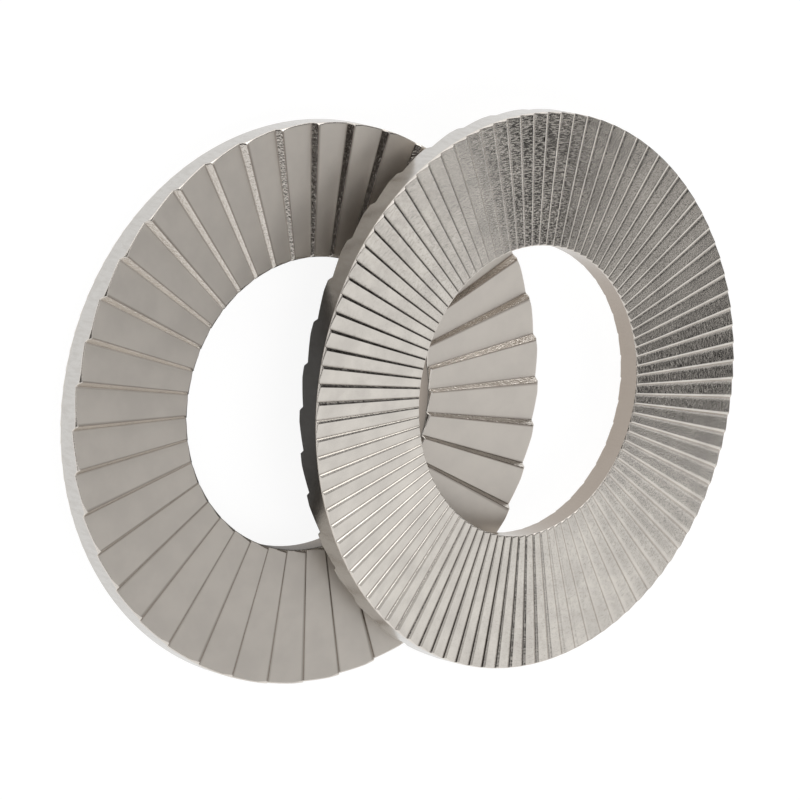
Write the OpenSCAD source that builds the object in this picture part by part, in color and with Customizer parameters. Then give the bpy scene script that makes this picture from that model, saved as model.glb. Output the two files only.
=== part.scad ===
// Wedge lock washer pair, wide series, for an M24 bolt with a right-hand thread.
// The pair is two equal halves. Each half has cams on its inner face and radial
// teeth on its outer face. The halves lie taken apart: the lower one on its teeth
// with its cams up, the upper one leaning across it with its teeth up.

/* [Washer] */
// Outer diameter of each half
outer_d = 48.5; // [44:0.1:56]
// Bore diameter, clear of the bolt's shank
bore_d = 25.3; // [24.3:0.1:28]
// Thickness of the pair when its cams are meshed
pair_t = 4.6; // [3.4:0.1:7]

/* [Cams] */
// Number of cams round the inner face
cam_count = 40; // [24:1:48]
// Height of a cam at the rim, from root to crest
cam_h = 0.55; // [0.3:0.05:0.8]
// Run of the steep cam step, along the rim
cam_step_run = 0.42; // [0.2:0.02:0.8]
// Radius of the rounded crests and roots, at the rim
cam_round = 0.15; // [0.05:0.01:0.25]

/* [Teeth] */
// Number of radial teeth round the outer face
tooth_count = 96; // [60:1:120]
// Depth of a tooth at the rim
tooth_h = 0.2; // [0.1:0.02:0.4]
// Run of the steep tooth flank, along the rim
tooth_step_run = 0.12; // [0.06:0.02:0.3]

/* [Edges] */
// Width of the sloped lip that rings the teeth at the rim
lip_w = 0.2; // [0.1:0.05:0.5]
// Height of that lip, measured from the tooth crests
lip_h = 0.3; // [0.2:0.05:0.6]
// Chamfer that takes off the cam crests at the rim
cam_edge = 0.2; // [0.1:0.05:0.35]
// Chamfer at both ends of the bore
bore_edge = 0.25; // [0.1:0.05:0.4]

/* [Resting pair] */
// How far the upper half's centre lies past the line on which it leans
overhang = 0.9; // [0.3:0.1:4]
// Gap left under the upper half where it leans and where it meets the floor
rest_gap = 0.03; // [0.02:0.01:0.2]
// Turn of the lower half about its own axis, in degrees
lower_turn = 1.5; // [0:0.5:360]
// Turn of the upper half about its own axis, in degrees
upper_turn = 10; // [0:0.5:360]

/* [Hidden] */
$fn = 180;
steel = [0.72, 0.70, 0.67];

outer_r = outer_d / 2;
bore_r = bore_d / 2;
half_t = pair_t / 2;

// Stock that the dies strike off beyond each face
stock = 0.5;
// Radius to which the dies reach, well past the rim
die_r = outer_r * 1.2;
// Thickness of a die
die_t = half_t;
// Flats that stand for each rounded crest or root
round_steps = 3;

// The cam profile is laid out along the rim, running counter-clockwise as seen
// from the cams: a long ramp up from the root, then a steep step down.
cam_pitch = PI * outer_d / cam_count;
cam_ramp_run = cam_pitch - cam_step_run;
ramp_a = atan(cam_h / cam_ramp_run);
step_a = atan(cam_h / cam_step_run);
round_tangent = cam_round * tan((ramp_a + step_a) / 2);
crest_start = [cam_ramp_run - round_tangent * cos(ramp_a), cam_h / 2 - round_tangent * sin(ramp_a)];
crest_centre = crest_start + cam_round * [sin(ramp_a), -cos(ramp_a)];
cam_crest = [for (i = [0 : round_steps])
    let (a = ramp_a - (ramp_a + step_a) * i / round_steps)
    crest_centre + cam_round * [-sin(a), cos(a)]];
// A root is the crest turned about the middle of the step, so that two halves mesh face to face
step_middle = [cam_ramp_run + cam_step_run / 2, 0];
cam_root = [for (i = [round_steps : -1 : 0]) 2 * step_middle - cam_crest[i]];
cam_profile = concat(cam_crest, cam_root);
// Height of the rounded crest above the cams' middle plane, at the rim
crest_z = max([for (p = cam_crest) p[1]]);
crest_z_bore = crest_z * bore_r / outer_r;

// The tooth profile runs counter-clockwise as seen from the teeth: a steep flank up,
// then a long ramp down. Its crests share one plane, and its roots deepen outwards.
tooth_pitch = PI * outer_d / tooth_count;
tooth_profile = [[0, -tooth_h], [tooth_step_run, 0]];

// The upper half leans with its bore edge on the lower half's rim, at two points,
// and its far rim meets the floor. Only crests touch.
rim_r = outer_r - cam_edge;
edge_r = bore_r + bore_edge;
edge_crest_z = crest_z * edge_r / outer_r;
lean_height = half_t + crest_z;
lean_run = rim_r + overhang;
crest_drop = crest_z - edge_crest_z;
lean_a = asin(lean_height / norm([lean_run, crest_drop])) - atan2(crest_drop, lean_run);
lean_y = sqrt(edge_r * edge_r - overhang * overhang);
lean_x = sqrt(rim_r * rim_r - lean_y * lean_y);
// Middle of the upper half's cam plane, seen from the lower half's axis
upper_x = lean_x + overhang * cos(lean_a) + edge_crest_z * sin(lean_a);
upper_z = rim_r * sin(lean_a) + crest_z * cos(lean_a) + rest_gap;
// The frame's middle lies halfway between the two far rims
far_rim_x = upper_x + outer_r * cos(lean_a) + (half_t - lip_h) * sin(lean_a);
lower_x = (outer_r - far_rim_x) / 2;

// A profile repeated round the die's edge, with heights that grow with the radius
function die_edge(profile, pitch, count) =
    [for (k = [0 : count - 1], p = profile)
        let (a = 360 * (p[0] / pitch + k) / count)
        [die_r * cos(a), die_r * sin(a), p[1] * die_r / outer_r]];

// Forging die with a radial pattern on its lower face: each flat runs to a point on the axis
module die(edge) {
    n = len(edge);
    top = [for (p = edge) [p[0], p[1], die_t]];
    points = concat([[0, 0, 0]], edge, top, [[0, 0, die_t]]);
    faces = [for (i = [0 : n - 1])
        let (j = (i + 1) % n, low_i = 1 + i, low_j = 1 + j, top_i = low_i + n, top_j = low_j + n)
        each [
            [0, low_i, low_j],
            [low_i, top_i, top_j],
            [low_i, top_j, low_j],
            [2 * n + 1, top_j, top_i]
        ]];
    polyhedron(points, faces);
}

// Turned blank with the bore, the lip and the edge chamfers, still thick enough to strike
module blank() {
    lip_slope = lip_w / lip_h;
    rim_top = half_t + crest_z;
    bore_top = half_t + crest_z_bore;
    rotate_extrude()
        polygon([
            [bore_r, bore_edge],
            [bore_r + bore_edge + stock, -stock],
            [outer_r - lip_w - stock * lip_slope, -stock],
            [outer_r, lip_h],
            [outer_r, rim_top - cam_edge],
            [outer_r - cam_edge - stock, rim_top + stock],
            [bore_r + bore_edge + stock, bore_top + stock],
            [bore_r, bore_top - bore_edge]
        ]);
}

// One half: teeth down with their crests on the floor plane, cams up
module washer_half() {
    difference() {
        blank();
        translate([0, 0, half_t])
            die(die_edge(cam_profile, cam_pitch, cam_count));
        rotate([180, 0, 0])
            die(die_edge(tooth_profile, tooth_pitch, tooth_count));
    }
}

// The half that lies on its teeth, cams up
module lower_washer() {
    color(steel)
        translate([lower_x, 0, 0])
            rotate([0, 0, lower_turn])
                washer_half();
}

// The half that leans across the lower one, teeth up
module upper_washer() {
    color(steel)
        translate([lower_x + upper_x, 0, upper_z])
            rotate([0, lean_a, 0])
                translate([0, 0, half_t])
                    rotate([180, 0, 0])
                        rotate([0, 0, upper_turn])
                            washer_half();
}

lower_washer();
upper_washer();
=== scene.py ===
import math

import bpy
import numpy as np
from mathutils import Matrix, Vector


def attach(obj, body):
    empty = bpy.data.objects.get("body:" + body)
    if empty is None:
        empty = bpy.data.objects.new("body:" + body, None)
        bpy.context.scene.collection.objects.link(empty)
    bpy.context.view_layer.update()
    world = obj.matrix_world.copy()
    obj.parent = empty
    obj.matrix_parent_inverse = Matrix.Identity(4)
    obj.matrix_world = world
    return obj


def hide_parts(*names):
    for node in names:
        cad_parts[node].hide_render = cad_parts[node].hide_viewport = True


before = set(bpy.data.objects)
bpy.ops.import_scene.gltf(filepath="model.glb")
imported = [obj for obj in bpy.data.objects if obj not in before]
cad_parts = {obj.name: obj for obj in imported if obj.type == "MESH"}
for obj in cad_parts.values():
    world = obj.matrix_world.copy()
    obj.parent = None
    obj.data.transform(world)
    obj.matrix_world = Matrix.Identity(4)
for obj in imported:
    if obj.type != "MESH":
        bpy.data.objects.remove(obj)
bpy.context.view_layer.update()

MM = 0.001

# Washer half, in millimetres
OUTER_R = 24.25
BORE_R = 12.65
HALF_T = 2.3
CAM_COUNT = 40
CAM_H = 0.55
CAM_STEP_RUN = 0.42
TOOTH_COUNT = 96
TOOTH_H = 0.2
TOOTH_FLANK_RUN = 0.075
# Worn bevel on each tooth crest, and the run over which a ramp flattens towards the next root
TOOTH_BEVEL_RUN = 0.18
TOOTH_BEVEL_H = 0.078
TOOTH_HOLLOW_RUN = 0.35
LIP_W = 0.1
LIP_H = 0.26
CAM_EDGE = 0.2
BORE_EDGE = 0.25
# Finer edge at the bore on the tooth side
BORE_TOOTH_EDGE = 0.12
# Lip height in the source, from which the pair is centred
CAD_LIP_H = 0.3
# Edge left on the cams where their roots run out below the chamfers
LEAST_EDGE = 0.07
# Crest height over the middle plane of the cams, at the rim, once it is rounded
CREST_Z = 0.2626

# Place of the two halves, in millimetres and degrees
OVERHANG = 0.9
REST_GAP = 0.03
LOWER_TURN = 1.5
UPPER_TURN = 10.0

# Sectors in which the pattern of cams and teeth repeats
SECTORS = math.gcd(CAM_COUNT, TOOTH_COUNT)
SECTOR_A = 2 * math.pi / SECTORS
# Pitch of the cams and of the teeth along the rim, and the run from a cam's root to its crest
CAM_PITCH = 2 * math.pi * OUTER_R / CAM_COUNT
TOOTH_PITCH = 2 * math.pi * OUTER_R / TOOTH_COUNT
CAM_CREST_X = CAM_PITCH - CAM_STEP_RUN

# Blank before it is struck, in millimetres: the bevel on its section, and the length beyond which
# an edge of the section is a face or a wall
BLANK_EDGE = 0.4
FLAT_LENGTH = 1.0
# Steps in each bevel, and cuts across each face and wall
CORNER_STEPS = 6
FACE_CUTS = 3
WALL_CUTS = 1
# How far each rounded edge reaches: bore to teeth, teeth to rim, rim to cams, cams to bore
EDGE_REACH = (0.04, 0.05, 0.07, 0.08)
# Largest share of a side that a rounded edge takes
LARGEST_SHARE = 0.35
# Least gap between two struck lines at the rim, and the gap under which points are merged
LINE_GAP = 0.013
MERGE_GAP = 0.0005
# Corners sharper than this keep a hard edge, in degrees
SHARP_ANGLE = 40

# Gain on the slope of the cams that marks their steps, and the depths below a tooth's crest, in
# millimetres, between which the mark of the crest fades
STEP_GAIN = 1.6
CREST_DEPTHS = (0.015, 0.045)
# Painted shade along the rim, from 0 to 1: in the tooth roots, and along both edges of each cam
# step
TOOTH_ROOT_SHADE = np.array([(0.0, 0.9), (0.02, 0.0),
                       (TOOTH_PITCH - 0.18, 0.0), (TOOTH_PITCH - 0.04, 1.0)])
CAM_STEP_SHADE = np.array([(0.03, 1.0), (0.1, 0.0), (CAM_CREST_X - 0.15, 0.0), (CAM_CREST_X - 0.05, 1.0),
                     (CAM_CREST_X + 0.02, 1.0), (CAM_CREST_X + 0.06, 0.0),
                     (CAM_PITCH - 0.05, 0.0), (CAM_PITCH - 0.01, 1.0)])

# Colours of the coat, and of the marks and the painted crease shade on it
COAT_DARK = (0.61, 0.575, 0.53, 1)
COAT_LIGHT = (0.71, 0.67, 0.615, 1)
CAM_COAT = (0.76, 0.71, 0.655, 1)
RIM_COAT = (0.60, 0.585, 0.562, 1)
BORE_COAT = (0.34, 0.29, 0.245, 1)
STEP_SPECKS = (0.16, 0.12, 0.09, 1)
# Dark colour of the painted shade in the creases
PAINTED_SHADE_COLOUR = (0.22, 0.175, 0.14, 1)
WALL_STREAKS = (0.34, 0.30, 0.265, 1)
# Roughness of the cams, which the other parts have less of, and the bump, with its height in metres
CAM_ROUGHNESS = 0.52
BUMP_STRENGTH = 0.25
BUMP_HEIGHT = 0.00002

# Camera, in millimetres and degrees
VIEW_AZIMUTH = 163.94
VIEW_ELEVATION = 52.56
VIEW_ROLL = 105.0
VIEW_DISTANCE = 1000.0
VIEW_TARGET = (-1.224, -0.302, 2.5)
IMAGE_SIDE = 800
FOCAL_PIXELS = 11668.7
SENSOR = 36.0
# Near and far end of the view, in metres
VIEW_NEAR = 0.01
VIEW_FAR = 20

# Floor: its side in metres, the light it adds so that it shows white, and its own tone
FLOOR_SIDE = 4
FLOOR_GLOW = 0.9
FLOOR_TONE = 0.2
# Floor in the lower bore, which the upper half keeps in shade, in millimetres
SHADE_MIDDLE = -13.0
SHADE_R = (11.0, 15.0)

# Strip softbox: its direction, its distance and size in metres, and its power in watts
LAMP_TOWARDS = (0.0, 0.964, 0.267)
LAMP_DISTANCE = 0.7
LAMP_SIZE = (1.18, 0.24)
LAMP_POWER = 1.9

# Room: each zone is an axis and the angles from it, in degrees, between which it fades out
CEILING_AXIS = (0.13, 0.585, 0.825)
CEILING_PANEL = (CEILING_AXIS, 40.4, 44.4)
CEILING_FRAME = (CEILING_AXIS, 49, 56.5)
SCREEN_BEHIND = ((-0.75, 0.47, 0.40), 36, 58)
SCREEN_BEHIND_LOW = ((-0.93, -0.17, 0.33), 9, 21)
SCREEN_FAR = ((0.87, 0.40, 0.29), 20, 27)
SCREEN_FAR_LOW = ((0.96, 0.20, 0.10), 16, 22)
# Heights of a direction, from -1 to 1, between which the screen behind ends, and between which the
# room fades to white at the floor
SCREEN_TOP = (0.85, 0.60)
HORIZON = (0.05, 0.14)
ROOM_WALL = (0.92, 0.92, 0.92, 1)
ROOM_PANEL = (0.64, 0.632, 0.625, 1)
ROOM_FRAME = (0.005, 0.004, 0.004, 1)
ROOM_BEHIND = (0.03, 0.025, 0.022, 1)
ROOM_FAR = (0.02, 0.018, 0.017, 1)
WHITE = (1, 1, 1, 1)


def deselect():
    """Leaves edit mode, with nothing selected."""
    if bpy.context.mode != "OBJECT":
        bpy.ops.object.mode_set(mode="OBJECT")
    bpy.ops.object.select_all(action="DESELECT")


def corner(profile, start, point, end, steps):
    """Adds a rounded corner to a profile: from start to end, pulled towards point."""
    for t in np.linspace(0, 1, steps):
        profile.append((
            (1 - t) ** 2 * start[0] + 2 * t * (1 - t) * point[0] + t * t * end[0],
            (1 - t) ** 2 * start[1] + 2 * t * (1 - t) * point[1] + t * t * end[1],
        ))


def along(a, b, t):
    """The point at share t of the way from a to b."""
    return (a[0] + (b[0] - a[0]) * t, a[1] + (b[1] - a[1]) * t)


def cam_profile():
    """One cam along the rim, counter-clockwise seen from the cams: root, ramp, crest and step."""
    root = (0.0, -CAM_H / 2)
    crest = (CAM_CREST_X, CAM_H / 2)
    next_root = (CAM_PITCH, -CAM_H / 2)
    # Shares of the ramp and the step that the rounded corners take
    ramp_share = 0.02
    step_share = 0.14
    corner_points = 5
    profile = []
    for t in np.linspace(0.08, 0.92, 7):
        profile.append(along(root, crest, t))
    corner(profile, along(crest, root, ramp_share), crest,
           along(crest, next_root, step_share), corner_points)
    profile.append(along(crest, next_root, 0.5))
    after = (next_root[0] + crest[0], crest[1])
    corner(profile, along(next_root, crest, step_share), next_root,
           along(next_root, after, ramp_share), corner_points)
    return np.array(profile)


def tooth_profile():
    """One tooth along the rim, counter-clockwise seen from the teeth.

    It has a steep flank, a worn crest, a long ramp and a hollow towards the next root.
    """
    root = (0.0, -TOOTH_H)
    bevel = (TOOTH_FLANK_RUN, -TOOTH_BEVEL_H)
    crest = (TOOTH_FLANK_RUN + TOOTH_BEVEL_RUN, 0.0)
    hollow_x = TOOTH_PITCH - TOOTH_HOLLOW_RUN
    slope = TOOTH_H / (hollow_x - crest[0] + TOOTH_HOLLOW_RUN / 2)
    hollow = (hollow_x, -slope * (hollow_x - crest[0]))
    # Shares of the flank, at its root and its top, of the bevel and of the ramp in the corners
    root_share = 0.25
    flank_share = 0.2
    bevel_share = 0.14
    ramp_share = 0.03
    corner_points = 3
    profile = []
    corner(profile, root, root, along(root, bevel, root_share), corner_points)
    corner(profile, along(bevel, root, flank_share), bevel,
           along(bevel, crest, bevel_share), corner_points)
    corner(profile, along(crest, bevel, bevel_share), crest,
           along(crest, hollow, ramp_share), corner_points)
    for t in (0.15, 0.5, 0.85):
        profile.append(along(crest, hollow, t))
    for t in (0.0, 0.25, 0.5, 0.75, 0.95):
        run = t * TOOTH_HOLLOW_RUN
        profile.append((hollow[0] + run, hollow[1] - slope * run * (1 - t / 2)))
    return np.array(profile)


CAM = cam_profile()
TOOTH = tooth_profile()


def wave(profile, pitch, run):
    """Height of a repeated profile at each run along the rim."""
    return np.interp(run % pitch, profile[:, 0] % pitch, profile[:, 1], period=pitch)


def ray_angles():
    """Angles at which one sector is struck, close together at the crests and roots."""
    closest = LINE_GAP / OUTER_R
    cams = [(p[0] / OUTER_R + k * 2 * math.pi / CAM_COUNT) % SECTOR_A
            for k in range(CAM_COUNT // SECTORS) for p in CAM]
    teeth = [(-p[0] / OUTER_R - k * 2 * math.pi / TOOTH_COUNT) % SECTOR_A
             for k in range(TOOTH_COUNT // SECTORS) for p in TOOTH]
    rays = []
    for a in sorted(cams + teeth):
        if not rays or a - rays[-1] > closest:
            rays.append(a)
    if rays[0] + SECTOR_A - rays[-1] < closest:
        rays.pop()
    return np.array(rays + [rays[0] + SECTOR_A])


RAYS = ray_angles()


def turned_blank(name):
    """One sector of a plain ring, turned from a rounded section, with a ray per struck line."""
    deselect()
    centre = ((OUTER_R + BORE_R) / 2 * MM, 0, HALF_T / 2 * MM)
    bpy.ops.mesh.primitive_plane_add(size=1, location=centre, rotation=(math.pi / 2, 0, 0))
    ring = bpy.context.object
    ring.name = name
    ring.data.name = name
    ring.scale = ((OUTER_R - BORE_R) * MM, HALF_T * MM, 1)
    bpy.ops.object.transform_apply(location=True, rotation=True, scale=True)
    bpy.ops.object.mode_set(mode="EDIT")
    bpy.ops.mesh.select_all(action="SELECT")
    bpy.ops.mesh.bevel(offset=BLANK_EDGE * MM, segments=CORNER_STEPS, affect="VERTICES")
    bpy.ops.mesh.select_all(action="SELECT")
    bpy.ops.mesh.delete(type="ONLY_FACE")
    # The two faces are the long edges of the section, and the two walls the tall ones
    for flat, cuts in ((True, FACE_CUTS), (False, WALL_CUTS)):
        bpy.ops.mesh.select_all(action="DESELECT")
        bpy.ops.object.mode_set(mode="OBJECT")
        for e in ring.data.edges:
            d = ring.data.vertices[e.vertices[1]].co - ring.data.vertices[e.vertices[0]].co
            e.select = abs(d.x if flat else d.z) > FLAT_LENGTH * MM
        bpy.ops.object.mode_set(mode="EDIT")
        bpy.ops.mesh.select_mode(type="EDGE")
        bpy.ops.mesh.subdivide(number_cuts=cuts)
    bpy.ops.object.mode_set(mode="OBJECT")
    section = np.array([(v.co.x, v.co.z) for v in ring.data.vertices]) / MM
    bpy.ops.object.mode_set(mode="EDIT")
    bpy.ops.mesh.select_all(action="SELECT")
    bpy.ops.mesh.spin(steps=len(RAYS) - 1, angle=-SECTOR_A, center=(0, 0, 0), axis=(0, 0, 1))
    bpy.ops.object.mode_set(mode="OBJECT")
    return ring, section


def edge_points(start, low, high, end, reach):
    """Points of a rounded chamfer from low to high, on the way from start to end."""

    def half_way(a, b):
        return a + (b - a) * 0.5

    def step(a, b):
        gap = np.linalg.norm(b - a, axis=1, keepdims=True)
        return a + (b - a) * np.minimum(reach / gap, LARGEST_SHARE)

    points = []
    for before, point, after in ((start, low, high), (low, high, end)):
        a = step(point, before)
        b = step(point, after)
        points += [a, half_way(half_way(a, point), half_way(point, b)), b]
    points.insert(3, half_way(low, high))
    return points


def struck_section():
    """Radius and height of each section point on each ray, after both dies have struck."""
    run = RAYS * OUTER_R
    cam = wave(CAM, CAM_PITCH, run) / OUTER_R
    tooth = -wave(TOOTH, TOOTH_PITCH, -run) / OUTER_R

    def at(r, z):
        return np.stack(np.broadcast_arrays(r, z, run)[:2], axis=1)

    def tooth_face(r):
        return at(r, tooth * r)

    def cam_face(r):
        return at(r, HALF_T + cam * r)

    lip = LIP_W * (1 - tooth * OUTER_R / LIP_H)
    bore_low = BORE_TOOTH_EDGE - tooth * BORE_R
    rim_edge = np.clip(cam * OUTER_R - CREST_Z + CAM_EDGE, LEAST_EDGE, CAM_EDGE)
    crest_at_bore = CREST_Z * BORE_R / OUTER_R
    bore_high = np.clip(cam * BORE_R - crest_at_bore + BORE_EDGE, LEAST_EDGE, BORE_EDGE)
    corners = [
        at(BORE_R, BORE_TOOTH_EDGE),
        tooth_face(BORE_R + bore_low),
        tooth_face(OUTER_R - lip),
        at(OUTER_R, LIP_H),
        at(OUTER_R, HALF_T + cam * OUTER_R - rim_edge),
        cam_face(OUTER_R - rim_edge),
        cam_face(BORE_R + bore_high),
        at(BORE_R, HALF_T + cam * BORE_R - bore_high),
    ]
    sides = (("teeth", FACE_CUTS), ("rim", WALL_CUTS), ("cams", FACE_CUTS), ("bore", WALL_CUTS))
    points = []
    zones = []
    for k, (name, cuts) in enumerate(sides):
        before, low, high, after = (corners[(2 * k + i - 1) % len(corners)] for i in range(4))
        rounded = edge_points(before, low, high, after, EDGE_REACH[k])
        points += rounded
        zones += [sides[k - 1][0]] + ["edge"] * (len(rounded) - 2) + [name]
        for c in range(cuts):
            points.append(high + (after - high) * (c + 1) / (cuts + 1))
            zones.append(name)
    return np.stack(points), zones, cam * OUTER_R, tooth * OUTER_R


def strike(ring, section):
    """Moves the blank's points to the struck shape and marks its faces for the finish."""
    struck, zones, cam, tooth = struck_section()
    mesh = ring.data
    co = np.empty(len(mesh.vertices) * 3)
    mesh.vertices.foreach_get("co", co)
    co = co.reshape(-1, 3) / MM
    # Order the section from the bore's lower edge, along the teeth, the rim and the cams
    out = section[:, 0] - (OUTER_R + BORE_R) / 2
    above = (section[:, 1] - HALF_T / 2) * (OUTER_R - BORE_R) / HALF_T
    order = np.argsort(np.arctan2(above, out))
    first = int(np.argmin(np.hypot(section[order, 0] - BORE_R, section[order, 1] - BLANK_EDGE)))
    order = np.roll(order, -first)
    radius = np.hypot(co[:, 0], co[:, 1])
    away = np.hypot(radius[:, None] - section[order, 0], co[:, 2, None] - section[order, 1])
    point = np.argmin(away, axis=1)
    ray = np.rint(np.arctan2(co[:, 1], co[:, 0]) / SECTOR_A * (len(RAYS) - 1)).astype(int)
    r, z = struck[point, ray, 0], struck[point, ray, 1]
    co = np.stack([r * np.cos(RAYS[ray]), r * np.sin(RAYS[ray]), z], axis=1)
    mesh.vertices.foreach_set("co", (co * MM).ravel())
    names = np.array(zones)[point]
    # How steep the cams are along the rim, 1 on the steps and 0 on the ramps, and the tooth crests
    run = RAYS * OUTER_R
    steep = np.clip(-np.gradient(cam, run) / (CAM_H / CAM_STEP_RUN) * STEP_GAIN, 0, 1)
    crest = np.interp(tooth, CREST_DEPTHS, (1, 0))
    # Painted shade in the tooth roots and along both edges of each cam step
    tooth_root_shade = wave(TOOTH_ROOT_SHADE, TOOTH_PITCH, -run)
    cam_step_shade = wave(CAM_STEP_SHADE, CAM_PITCH, run)
    marks = {
        "teeth": names == "teeth",
        "rim": names == "rim",
        "bore": names == "bore",
        "edge": names == "edge",
        "steps": np.where(names == "cams", steep[ray], 0),
        "crests": np.where(names == "teeth", crest[ray], 0),
        "painted_shade": np.where(names == "teeth", tooth_root_shade[ray],
                         np.where(names == "cams", cam_step_shade[ray], 0)),
    }
    for name, values in marks.items():
        mark = mesh.attributes.new(name, "FLOAT", "POINT")
        mark.data.foreach_set("value", values.astype(np.float32))
    mesh.update()


def whole_ring(ring):
    """Repeats the struck sector all round and notes each point's place on the half."""
    deselect()
    ring.select_set(True)
    bpy.context.view_layer.objects.active = ring
    bpy.ops.object.mode_set(mode="EDIT")
    bpy.ops.mesh.select_all(action="SELECT")
    bpy.ops.mesh.spin(steps=SECTORS - 1, dupli=True, angle=SECTOR_A - 2 * math.pi,
                      center=(0, 0, 0), axis=(0, 0, 1))
    bpy.ops.mesh.select_all(action="SELECT")
    bpy.ops.mesh.remove_doubles(threshold=MERGE_GAP * MM)
    bpy.ops.mesh.normals_make_consistent(inside=False)
    bpy.ops.object.mode_set(mode="OBJECT")
    mesh = ring.data
    co = np.empty(len(mesh.vertices) * 3)
    mesh.vertices.foreach_get("co", co)
    place = mesh.attributes.new("place", "FLOAT_VECTOR", "POINT")
    place.data.foreach_set("vector", (co / MM).astype(np.float32))


def finished(ring, place):
    """Smooths a struck half, keeps its flats flat up to their edges, and puts it in its place."""
    # The area weights need the mesh at millimetre size
    ring.data.transform(Matrix.Scale(1 / MM, 4))
    deselect()
    ring.select_set(True)
    bpy.context.view_layer.objects.active = ring
    bpy.ops.object.shade_smooth_by_angle(angle=math.radians(SHARP_ANGLE))
    flats = ring.modifiers.new("flats", "WEIGHTED_NORMAL")
    flats.keep_sharp = True
    bpy.ops.object.modifier_apply(modifier=flats.name)
    ring.data.transform(place @ Matrix.Scale(MM, 4))
    ring.data.update()


def lean():
    """Rest of the upper half, as in the source: its lean, the lower centre and its own centre."""
    rim_r = OUTER_R - CAM_EDGE
    edge_r = BORE_R + BORE_EDGE
    edge_crest = CREST_Z * edge_r / OUTER_R
    drop = CREST_Z - edge_crest
    run = rim_r + OVERHANG
    angle = math.asin((HALF_T + CREST_Z) / math.hypot(run, drop)) - math.atan2(drop, run)
    lean_y = math.sqrt(edge_r ** 2 - OVERHANG ** 2)
    lean_x = math.sqrt(rim_r ** 2 - lean_y ** 2)
    x = lean_x + OVERHANG * math.cos(angle) + edge_crest * math.sin(angle)
    z = rim_r * math.sin(angle) + CREST_Z * math.cos(angle) + REST_GAP
    far = x + OUTER_R * math.cos(angle) + (HALF_T - CAD_LIP_H) * math.sin(angle)
    lower_x = (OUTER_R - far) / 2
    return angle, Vector((lower_x, 0, 0)), Vector((lower_x + x, 0, z))


def turned(degrees, axis):
    """A turn about one axis of the frame."""
    return Matrix.Rotation(math.radians(degrees), 4, axis)


lean_angle, lower_centre, upper_centre = lean()
lower_place = Matrix.Translation(lower_centre * MM) @ turned(LOWER_TURN, "Z")
upper_place = (Matrix.Translation(upper_centre * MM) @ Matrix.Rotation(lean_angle, 4, "Y")
               @ Matrix.Translation(Vector((0, 0, HALF_T)) * MM)
               @ turned(180, "X") @ turned(UPPER_TURN, "Z"))

lower, blank_section = turned_blank("lower_half")
strike(lower, blank_section)
whole_ring(lower)
upper = lower.copy()
upper.data = lower.data.copy()
upper.name = upper.data.name = "upper_half"
bpy.context.scene.collection.objects.link(upper)
finished(lower, lower_place)
finished(upper, upper_place)


class Value:
    """A socket of a material, with the operators that add Math nodes."""

    def __init__(self, tree, socket):
        self.tree = tree
        self.socket = socket

    def math(self, operation, *others):
        node = self.tree.nodes.new("ShaderNodeMath")
        node.operation = operation
        for slot, value in zip(node.inputs, (self, *others)):
            fill(self.tree, slot, value)
        return Value(self.tree, node.outputs[0])

    def __add__(self, other):
        return self.math("ADD", other)

    __radd__ = __add__

    def __sub__(self, other):
        return self.math("SUBTRACT", other)

    def __rsub__(self, other):
        return (self * -1) + other

    def __mul__(self, other):
        return self.math("MULTIPLY", other)

    __rmul__ = __mul__

    def clamped(self):
        return self.math("MAXIMUM", 0.0).math("MINIMUM", 1.0)


def fill(tree, slot, value):
    """Links a value to a socket, or sets a plain number, colour or vector on it."""
    if isinstance(value, Value):
        tree.links.new(value.socket, slot)
    else:
        slot.default_value = value


class Nodes:
    """Nodes of a material or of the room."""

    def __init__(self, owner):
        owner.use_nodes = True
        self.tree = owner.node_tree
        self.tree.nodes.clear()

    def node(self, kind, settings, sockets, output=0):
        """Adds a node by type, settings and sockets, and gives one output, or all for None."""
        node = self.tree.nodes.new("ShaderNode" + kind)
        for key, value in settings.items():
            setattr(node, key, value)
        for key, value in sockets.items():
            fill(self.tree, node.inputs[key], value)
        if output is None:
            return [Value(self.tree, s) for s in node.outputs]
        return Value(self.tree, node.outputs[output])

    def attribute(self, name, output="Fac"):
        return self.node("Attribute", {"attribute_name": name}, {}, output)

    def vector(self, x, y, z):
        return self.node("CombineXYZ", {}, {"X": x, "Y": y, "Z": z})

    def parts(self, vector):
        return self.node("SeparateXYZ", {}, {0: vector}, None)

    def noise(self, vector, scale, detail, roughness):
        return self.node("TexNoise", {}, {"Vector": vector, "Scale": scale, "Detail": detail,
                                          "Roughness": roughness})

    def ramp(self, value, low, high):
        return self.node("MapRange", {"interpolation_type": "SMOOTHSTEP"},
                         {"Value": value, "From Min": low, "From Max": high})

    def blend(self, factor, a, b):
        return self.node("Mix", {"data_type": "RGBA"}, {0: factor, 6: a, 7: b}, 2)

    def dot(self, vector, axis):
        return self.node("VectorMath", {"operation": "DOT_PRODUCT"}, {0: vector, 1: axis}, "Value")

    def surface(self, shader, kind="Material"):
        self.node("Output" + kind, {}, {"Surface": shader}, None)


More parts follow.
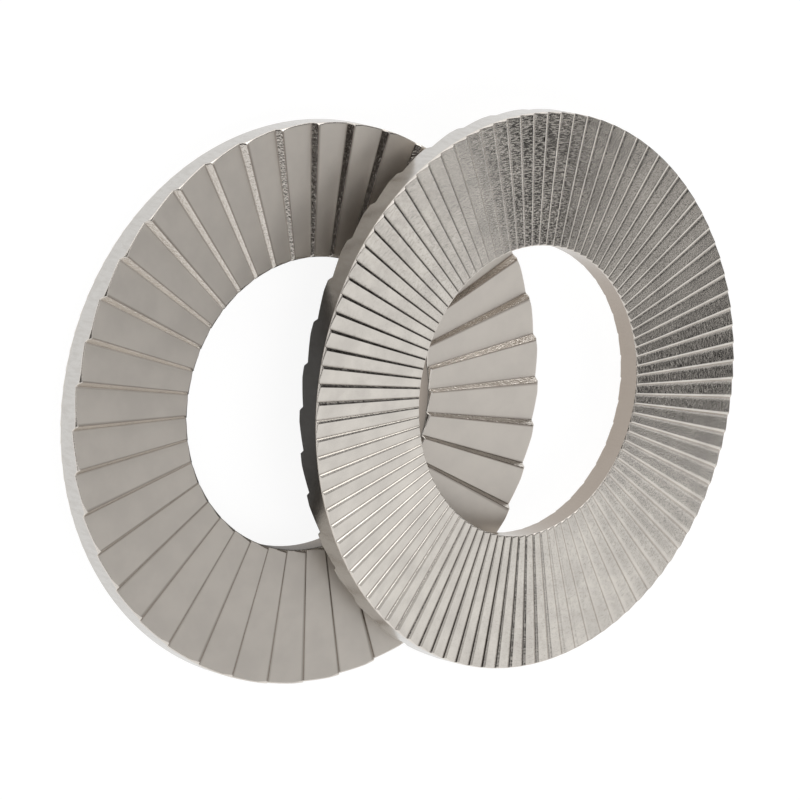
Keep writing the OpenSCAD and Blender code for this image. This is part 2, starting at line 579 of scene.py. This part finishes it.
def coated_steel():
    """Satin coat: teeth brushed, cam steps specked, walls streaked, and painted shade in the
    creases.
    """
    material = bpy.data.materials.new("coated_steel")
    f = Nodes(material)
    place = f.attribute("place", "Vector")
    x, y, z = f.parts(place)
    radius = (x * x + y * y).math("SQRT")
    angle = y.math("ARCTAN2", x)
    teeth, rim, bore, edge, steps, crests, painted_shade = (
        f.attribute(n) for n in ("teeth", "rim", "bore", "edge", "steps", "crests", "painted_shade"))
    walls = (rim + bore).clamped()
    cams = (1 - teeth - walls).clamped()

    # Brush strokes run round the washer, and streaks across its walls
    strokes = f.noise(f.vector(angle * 40.0, radius * 10.0, z), 1.0, 3.0, 0.7)
    dashes = f.ramp(strokes, 0.5, 0.68)
    cloud = f.noise(place, 0.35, 3.0, 0.55)
    grain = f.noise(place, 7.0, 3.0, 0.6)
    hatch = f.noise(place, 5.0, 2.0, 0.6)
    streaks = f.noise(f.vector(angle * 60.0, 0.0, z * 0.7), 1.0, 3.0, 0.6)

    colour = f.blend(f.ramp(cloud, 0.3, 0.7), COAT_DARK, COAT_LIGHT)
    colour = f.blend(cams * 0.5, colour, CAM_COAT)
    colour = f.blend(rim, colour, RIM_COAT)
    colour = f.blend(steps * f.ramp(hatch, 0.45, 0.58) * 0.1, colour, STEP_SPECKS)
    # Painted shade in the tooth roots and along the cam steps, lighter on the teeth
    colour = f.blend(painted_shade * (0.7 - teeth * 0.25), colour, PAINTED_SHADE_COLOUR)
    colour = f.blend(walls * f.ramp(streaks, 0.4, 0.65) * 0.15, colour, WALL_STREAKS)
    colour = f.blend(bore * 0.85, colour, BORE_COAT)
    roughness = (CAM_ROUGHNESS - teeth * 0.38 - walls * 0.30 - steps * 0.36 - edge * 0.25
                 - crests * 0.04 + (cloud - 0.5) * 0.06 + (grain - 0.5) * 0.06)
    height = (dashes * teeth * 0.8 + grain * (teeth * 1.2 + 0.25) + hatch * steps * 10.0
              + streaks * walls * 0.3)
    bump = f.node("Bump", {}, {"Strength": BUMP_STRENGTH, "Distance": BUMP_HEIGHT,
                               "Height": height})
    f.surface(f.node("BsdfPrincipled", {}, {"Base Color": colour, "Metallic": 1.0,
                                            "Roughness": roughness, "Normal": bump}))
    return material


steel = coated_steel()
for piece, node in ((lower, "lower_washer"), (upper, "upper_washer")):
    piece.data.materials.clear()
    piece.data.materials.append(steel)
    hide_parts(node)
    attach(piece, "root")


def floor_finish():
    """Pale floor that shows white, except where washers reflect its shaded part."""
    material = bpy.data.materials.new("pale_floor")
    f = Nodes(material)
    rays = ("Is Camera Ray", "Is Glossy Ray", "Is Transmission Ray")
    camera, glossy, transmission = (f.node("LightPath", {}, {}, n) for n in rays)
    x, y, _ = f.parts(f.node("TexCoord", {}, {}, "Object"))
    x = x - SHADE_MIDDLE * MM
    shaded = f.ramp((x * x + y * y).math("SQRT"), SHADE_R[1] * MM, SHADE_R[0] * MM)
    shown = (camera + (glossy + transmission) * (1 - shaded)).clamped()
    diffuse = f.node("BsdfDiffuse", {}, {"Color": (FLOOR_TONE, FLOOR_TONE, FLOOR_TONE, 1)})
    glow = f.node("Emission", {}, {"Color": WHITE, "Strength": shown * FLOOR_GLOW})
    f.surface(f.node("AddShader", {}, {0: diffuse, 1: glow}))
    return material


deselect()
bpy.ops.mesh.primitive_plane_add(size=FLOOR_SIDE, location=(0, 0, 0))
floor = bpy.context.object
floor.name = "floor"
floor.data.materials.append(floor_finish())


def view_axes():
    """The camera's right, up and back directions."""
    azimuth, elevation, roll = (math.radians(a) for a in (VIEW_AZIMUTH, VIEW_ELEVATION, VIEW_ROLL))
    back = Vector((math.cos(elevation) * math.cos(azimuth), math.cos(elevation) * math.sin(azimuth),
                   math.sin(elevation)))
    side = Vector((0, 0, 1)).cross(back).normalized()
    above = back.cross(side)
    right = side * math.cos(roll) + above * math.sin(roll)
    up = above * math.cos(roll) - side * math.sin(roll)
    return right, up, back


def add_camera():
    """A far camera with a long lens, looking down on the pair and rolled."""
    right, up, back = view_axes()
    data = bpy.data.cameras.new("camera")
    data.sensor_width = SENSOR
    data.lens = FOCAL_PIXELS / IMAGE_SIDE * SENSOR
    data.clip_start = VIEW_NEAR
    data.clip_end = VIEW_FAR
    camera = bpy.data.objects.new("camera", data)
    bpy.context.scene.collection.objects.link(camera)
    place = Matrix((right, up, back)).transposed().to_4x4()
    place.translation = (Vector(VIEW_TARGET) + back * VIEW_DISTANCE) * MM
    camera.matrix_world = place
    bpy.context.scene.camera = camera


def add_softbox():
    """A long soft lamp on one side, facing the washers."""
    data = bpy.data.lights.new("strip_softbox", "AREA")
    data.shape = "RECTANGLE"
    data.size, data.size_y = LAMP_SIZE
    data.energy = LAMP_POWER
    lamp = bpy.data.objects.new("strip_softbox", data)
    bpy.context.scene.collection.objects.link(lamp)
    towards = Vector(LAMP_TOWARDS).normalized()
    facing = towards.to_track_quat("Z", "Y").to_matrix().to_4x4()
    lamp.matrix_world = Matrix.Translation(towards * LAMP_DISTANCE) @ facing


def add_room():
    """A white room with a grey ceiling panel in a dark frame, and dark screens on two sides."""
    world = bpy.data.worlds.new("studio")
    bpy.context.scene.world = world
    f = Nodes(world)
    towards = f.node("TexCoord", {}, {}, "Generated")
    _, _, z = f.parts(towards)

    def zone(axis, inner, outer):
        inside, outside = (math.cos(math.radians(a)) for a in (inner, outer))
        return f.ramp(f.dot(towards, Vector(axis).normalized()), outside, inside)

    behind = zone(*SCREEN_BEHIND) * f.ramp(z, *SCREEN_TOP) + zone(*SCREEN_BEHIND_LOW)
    far = zone(*SCREEN_FAR) + zone(*SCREEN_FAR_LOW)
    room = f.blend(zone(*CEILING_FRAME), ROOM_WALL, ROOM_FRAME)
    room = f.blend(zone(*CEILING_PANEL), room, ROOM_PANEL)
    room = f.blend(behind.clamped(), room, ROOM_BEHIND)
    room = f.blend(f.ramp(z, *HORIZON), WHITE, room)
    room = f.blend(far.clamped(), room, ROOM_FAR)
    f.surface(f.node("Background", {}, {"Color": room, "Strength": 1.0}), "World")


add_camera()
add_softbox()
add_room()
bpy.context.scene.view_settings.view_transform = "Standard"
